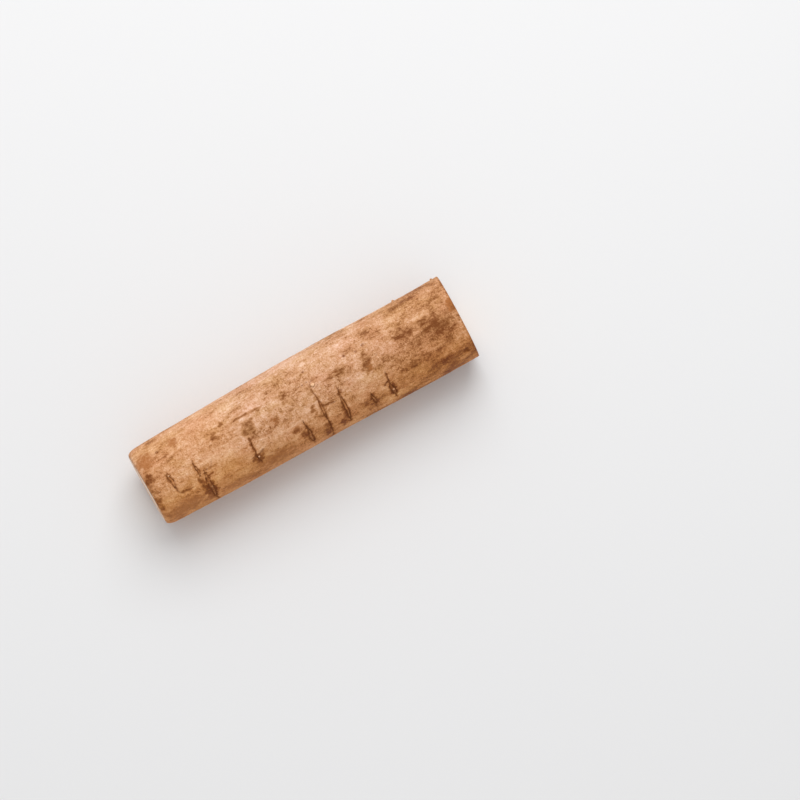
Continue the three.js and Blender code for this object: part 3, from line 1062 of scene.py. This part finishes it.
def root_finish(name, colours, relief):
    """The root's one finish: skin outside, flesh on the cuts."""
    material, make = new_finish(name)
    mm = make.in_mm(make.object_place())
    skin, skin_height = skin_colour(make, mm, colours)
    flesh, flesh_height = flesh_colour(make, mm, colours)
    on_skin = make.step(make.mask("across"), SKIN_EDGE, 1.0)
    height = flesh_height + (skin_height - flesh_height) * on_skin
    roughness = 0.52 + on_skin * (0.14 + skin_height * 0.15 + make.mask("crack") * 0.3)
    shade = make.mix(on_skin, flesh, skin)
    close_finish(make, shade, roughness, height, relief.grain, **{"Specular IOR Level": 0.2})
    return material


def stub_finish(name, colours):
    """Stubs of rootlets: brown bark with a pale, torn top."""
    material, make = new_finish(name)
    grain = make.noise(make.in_mm(make.object_place()), 3.0, 3, 0.7)
    torn = make.step(make.mask("tip") + (grain - 0.5) * 1.2, 0.60, 0.90) * make.mask("pale")
    base = make.mix(torn, colours.umber, colours.torn)
    base = make.mix(make.step(grain, 0.50, 0.64) * (0.5 - torn * 0.4), base, colours.crack)
    close_finish(make, base, 0.8 + grain * 0.2, grain, 0.1 * MM, **{"Specular IOR Level": 0.1})
    return material


def earth_finish(name, colours):
    """Dry crumbs of earth."""
    material, make = new_finish(name)
    grain = make.noise(make.in_mm(make.object_place()), 2.0, 3, 0.7)
    base = make.mix(grain, colours.crack, colours.umber)
    close_finish(make, base, 0.85 + grain * 0.1, grain, 0.05 * MM, **{"Specular IOR Level": 0.1})
    return material


def floor_finish(name, studio):
    """A matt, pale floor with a barely uneven coat."""
    material, make = new_finish(name)
    cloud = make.noise(make.object_place(), 6.0, 3, 0.5)
    base = make.mix(cloud * 0.06, studio.floor, FLOOR_CLOUDS)
    close_finish(make, base, 0.8 + cloud * 0.1, cloud, 0.05 * MM)
    return material


# --------------------
# Geometry Nodes.

FULL_SWING = 2  # brings a pattern, which reaches half a unit each way, up to a whole one
LUMPS = Pattern(0.075, 2, 0.5)
WRINKLES = Pattern((0.05, 0.42, 0.42), 4, 0.6)
RINGS = Pattern((1.1, 0.16, 0.16), 3, 0.6)
KNIFE_MARKS = Pattern((1.0, 0.12, 1.6), 3, 0.55)
TORN = Pattern(1.9, 3, 0.5)
CRUMBS_ON_SKIN, CRUMBS_ON_HALO = 0.02, 0.5  # against 1 in a slit
CRUMBS_CLEAR = (0.3 * MM, 0.8 * MM)  # how far up from the ground crumbs begin, and are all there
CRUMB_WIDTH, CRUMB_THICKNESS = 0.7, 0.5  # as shares of a crumb's length
CRUMB_TURN = (6, 6, 6)  # the most that a crumb is turned around each axis, in radians


def new_rule(name, *sizes):
    """A geometry tree with named inputs: the geometry, sizes and a finish. Gives a Maker and the
    inputs as Values."""
    tree = bpy.data.node_groups.new(name, "GeometryNodeTree")
    kinds = {"Geometry": "Geometry", **dict.fromkeys(sizes, "Float"), "Finish": "Material"}
    for label, kind in kinds.items():
        tree.interface.new_socket(label, in_out="INPUT", socket_type=f"NodeSocket{kind}")
    tree.interface.new_socket("Geometry", in_out="OUTPUT", socket_type="NodeSocketGeometry")
    group = tree.nodes.new("NodeGroupInput")
    make = Maker(tree)
    return make, {socket.name: Value(make, socket) for socket in group.outputs if socket.name}


def on_each_point(make, points, thing, turn, scale):
    """A copy of a thing on each point."""
    inputs = {"Points": points, "Instance": thing, "Rotation": turn, "Scale": scale}
    return make.node("GeometryNodeInstanceOnPoints", None, inputs)


def made_real(make, instances):
    return make.node("GeometryNodeRealizeInstances", None, {0: instances})


def close_rule(make, geometry, finish):
    """Ends a geometry tree: instances made real, the finish set."""
    inputs = {"Geometry": made_real(make, geometry), "Material": finish}
    make.node("NodeGroupOutput", None, {0: make.node("GeometryNodeSetMaterial", None, inputs)})
    return make.tree


def add_object(name, data):
    """A new object in the scene."""
    thing = bpy.data.objects.new(name, data)
    bpy.context.scene.collection.objects.link(thing)
    return thing


def made_plain(name, mesh, tree, relief, finish):
    """Runs a rule on a mesh, with the settings that its inputs are called after. Gives an object
    that holds the result as its own plain mesh."""
    values = {prop.name: getattr(relief, prop.identifier) for prop in relief.bl_rna.properties}
    values["Finish"] = finish
    piece = add_object(name, mesh)
    modifier = piece.modifiers.new("rule", "NODES")
    modifier.node_group = tree
    for item in tree.interface.items_tree:
        if item.in_out == "INPUT" and item.name in values:
            modifier[item.identifier] = values[item.name]
    graph = bpy.context.evaluated_depsgraph_get()
    plain = bpy.data.meshes.new_from_object(piece.evaluated_get(graph))
    plain.name = name
    piece.modifiers.clear()
    piece.data = plain
    return piece


def relief_rule():
    """Raises lumps, wrinkles along the root and creases around it on the skin, and knife marks on
    the cuts. Nothing sinks below the surface that the root rests on."""
    make, given = new_rule("skin_relief", "Lumps", "Wrinkles", "Rings", "Knife marks")
    place = make.position()
    mm = make.in_mm(place)
    across = make.field("across")
    on_skin, on_cut = make.step(across, 1.0, 1.12), 1 - make.step(across, 0.97, 1.0)
    lumps, wrinkles = make.pattern(mm, LUMPS), make.pattern(mm, WRINKLES)
    rings, knife = make.pattern(mm, RINGS), make.pattern(mm, KNIFE_MARKS)
    skin_height = lumps * given["Lumps"] + wrinkles * given["Wrinkles"] + rings * given["Rings"]
    height = (skin_height * on_skin + knife * given["Knife marks"] * on_cut) * FULL_SWING

    offset = make.scale(make.node("GeometryNodeInputNormal"), height)
    x, y, z = make.split(make.vector("ADD", place, offset))
    settled = make.join(x, y, make.math("MAXIMUM", z, CAD_LOW.z))
    inputs = {"Geometry": given["Geometry"], "Position": settled}
    return close_rule(make, make.node("GeometryNodeSetPosition", None, inputs), given["Finish"])


def stub_rule():
    """Stands a ragged knob on each point, along its aim and of its own width and height."""
    make, given = new_rule("rootlet_stubs", "Raggedness")
    ball = make.node("GeometryNodeMeshIcoSphere", None, {"Radius": 1.0, "Subdivisions": 4})
    knob = make.node("GeometryNodeTransform", None, {"Geometry": ball, "Translation": (0, 0, 1)})
    up = make.split(make.position())[2] * 0.5
    settings = {"data_type": "FLOAT", "domain": "POINT"}
    inputs = {"Geometry": knob, "Name": "tip", "Value": up}
    tipped = make.node("GeometryNodeStoreNamedAttribute", settings, inputs)

    size, height, aim = make.field("size"), make.field("height"), make.field("aim", "FLOAT_VECTOR")
    turn = make.node("FunctionNodeAlignRotationToVector", {"axis": "Z"}, {"Vector": aim})
    scale = make.join(size, size, height * 0.5)
    knobs = made_real(make, on_each_point(make, given["Geometry"], tipped, turn, scale))
    wild = make.noise(make.in_mm(make.position()), *TORN, output="Color")
    push = make.scale(make.vector("SUBTRACT", wild, (0.5, 0.5, 0.5)), given["Raggedness"])
    ragged = make.node("GeometryNodeSetPosition", None, {"Geometry": knobs, "Offset": push})
    return close_rule(make, ragged, given["Finish"])


def crumb_rule():
    """Scatters crumbs over a surface where its own halo and crack masks are strong, clear of the
    surface that the root rests on."""
    make, given = new_rule("earth_crumbs", "Crumbs", "Smallest crumb", "Largest crumb")
    halo, crack = make.field("halo"), make.field("crack")
    up = make.split(make.position())[2]
    clear = make.step(up, *(CAD_LOW.z + height for height in CRUMBS_CLEAR))
    density = (CRUMBS_ON_SKIN + halo * halo * CRUMBS_ON_HALO + crack) * clear * given["Crumbs"]
    inputs = {"Mesh": given["Geometry"], "Density": density, "Seed": 4}
    spread = make.node("GeometryNodeDistributePointsOnFaces", None, inputs)
    crumb = make.node("GeometryNodeMeshIcoSphere", None, {"Radius": 1.0, "Subdivisions": 1})
    inputs = {2: given["Smallest crumb"], 3: given["Largest crumb"], "Seed": 5}
    size = make.node("FunctionNodeRandomValue", {"data_type": "FLOAT"}, inputs, output=1)
    inputs = {0: (0, 0, 0), 1: CRUMB_TURN, "Seed": 6}
    turn = make.node("FunctionNodeRandomValue", {"data_type": "FLOAT_VECTOR"}, inputs)
    scale = make.join(size, size * CRUMB_WIDTH, size * CRUMB_THICKNESS)
    return close_rule(make, on_each_point(make, spread, crumb, turn, scale), given["Finish"])


# --------------------
# The stage.

FLOOR_SIDE = 6.0
SENSOR = 36.0
KEY_SIDE = 0.8
KEY_DISTANCE = 1.0


def view_axes(azimuth, elevation):
    """The right, up and back directions of a view. Azimuth 0 looks along +Y, 90 degrees along -X."""
    flat, steep = math.cos(elevation), math.sin(elevation)
    back = Vector((math.sin(azimuth) * flat, -math.cos(azimuth) * flat, steep))
    right = Vector((math.cos(azimuth), math.sin(azimuth), 0))
    return right, back.cross(right), back


def stand_back(thing, target, distance, axes):
    """Places a camera or a light so that it looks at the target from a distance, along axes."""
    right, up, back = axes
    thing.location = target + back * distance
    thing.rotation_euler = Matrix((right, up, back)).transposed().to_euler()


# --------------------
# Operators: one for the root, one for each kind of small piece on it, one for the stage.


def fix_to_root(piece):
    """Makes a piece move with the root."""
    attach(piece, BODY)


class BURDOCK_OT_root(bpy.types.Operator):
    """Makes the root: its skin with slits and stains, and both cuts"""

    bl_idname = "burdock.root"
    bl_label = "Root"

    def execute(self, context):
        relief, colours = context.scene.burdock_relief, context.scene.burdock_colours
        finish = root_finish("root_skin_and_flesh", colours, relief)
        piece = made_plain("root_surface", root_mesh("root_rings"), relief_rule(), relief, finish)
        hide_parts(NODE)
        fix_to_root(piece)
        return {"FINISHED"}


class BURDOCK_OT_stubs(bpy.types.Operator):
    """Makes the stubs of rootlets that stand in and beside the slits"""

    bl_idname = "burdock.stubs"
    bl_label = "Rootlet stubs"

    def execute(self, context):
        relief, colours = context.scene.burdock_relief, context.scene.burdock_colours
        finish = stub_finish("rootlet_bark", colours)
        piece = made_plain("rootlet_stubs", stub_points("stub_points"), stub_rule(), relief, finish)
        fix_to_root(piece)
        return {"FINISHED"}


class BURDOCK_OT_crumbs(bpy.types.Operator):
    """Makes the crumbs of earth that washing left in the slits"""

    bl_idname = "burdock.crumbs"
    bl_label = "Earth crumbs"

    def execute(self, context):
        relief, colours = context.scene.burdock_relief, context.scene.burdock_colours
        finish = earth_finish("dry_earth", colours)
        piece = made_plain("earth_crumbs", root_mesh("crumb_ground"), crumb_rule(), relief, finish)
        fix_to_root(piece)
        return {"FINISHED"}


class BURDOCK_OT_stage(bpy.types.Operator):
    """Makes the floor, the lights and the camera"""

    bl_idname = "burdock.stage"
    bl_label = "Stage"

    def execute(self, context):
        scene, studio = context.scene, context.scene.burdock_studio
        middle = (CAD_LOW + CAD_HIGH) / 2
        half = FLOOR_SIDE / 2
        corners = [(-half, -half), (half, -half), (half, half), (-half, half)]
        floor_mesh = bpy.data.meshes.new("floor")
        floor_mesh.from_pydata([(x, y, CAD_LOW.z) for x, y in corners], [], [(0, 1, 2, 3)])
        floor_mesh.materials.append(floor_finish("floor_coat", studio))
        add_object("floor", floor_mesh)

        scene.camera = camera = add_object("camera", bpy.data.cameras.new("camera"))
        camera.data.sensor_width = SENSOR
        camera.data.lens = SENSOR * studio.distance / studio.width
        axes = right, up, _ = view_axes(studio.azimuth, studio.elevation)
        stand_back(camera, middle + right * studio.aside + up * studio.above, studio.distance, axes)

        key = add_object("key", bpy.data.lights.new("key", "AREA"))
        key.data.energy = studio.key
        key.data.shape = "SQUARE"
        key.data.size = KEY_SIDE
        below = Vector((middle.x, middle.y, CAD_LOW.z))
        stand_back(key, below, KEY_DISTANCE, view_axes(studio.azimuth + studio.key_turn, studio.key_height))

        scene.world = world = bpy.data.worlds.new("studio")
        world.use_nodes = True
        background = world.node_tree.nodes["Background"]
        background.inputs["Color"].default_value = (1, 1, 1, 1)
        background.inputs["Strength"].default_value = studio.fill
        scene.view_settings.view_transform = "Standard"
        return {"FINISHED"}


class BURDOCK_PT_making(bpy.types.Panel):
    """Lists what makes each piece, and what it is made with"""

    bl_label = "Burdock root"
    bl_idname = "BURDOCK_PT_making"
    bl_space_type = "VIEW_3D"
    bl_region_type = "UI"
    bl_category = "Burdock"

    def draw(self, context):
        for maker in MAKERS:
            self.layout.operator(maker.bl_idname)
        for name in SETTINGS:
            box = self.layout.box()
            settings = getattr(context.scene, name)
            for prop in settings.bl_rna.properties:
                if not prop.is_readonly and prop.identifier != "name":
                    box.prop(settings, prop.identifier)


MAKERS = (BURDOCK_OT_root, BURDOCK_OT_stubs, BURDOCK_OT_crumbs, BURDOCK_OT_stage)
SETTINGS = {
    "burdock_relief": BURDOCK_PG_relief,
    "burdock_colours": BURDOCK_PG_colours,
    "burdock_studio": BURDOCK_PG_studio,
}
CLASSES = (*SETTINGS.values(), *MAKERS, BURDOCK_PT_making)


def register():
    for kind in CLASSES:
        bpy.utils.register_class(kind)
    for name, group in SETTINGS.items():
        setattr(bpy.types.Scene, name, bpy.props.PointerProperty(type=group))


def unregister():
    for name in SETTINGS:
        delattr(bpy.types.Scene, name)
    for kind in reversed(CLASSES):
        bpy.utils.unregister_class(kind)


def main():
    """Makes everything in order."""
    register()
    bpy.ops.burdock.root()
    bpy.ops.burdock.stubs()
    bpy.ops.burdock.crumbs()
    bpy.ops.burdock.stage()


if __name__ == "__main__":
    main()
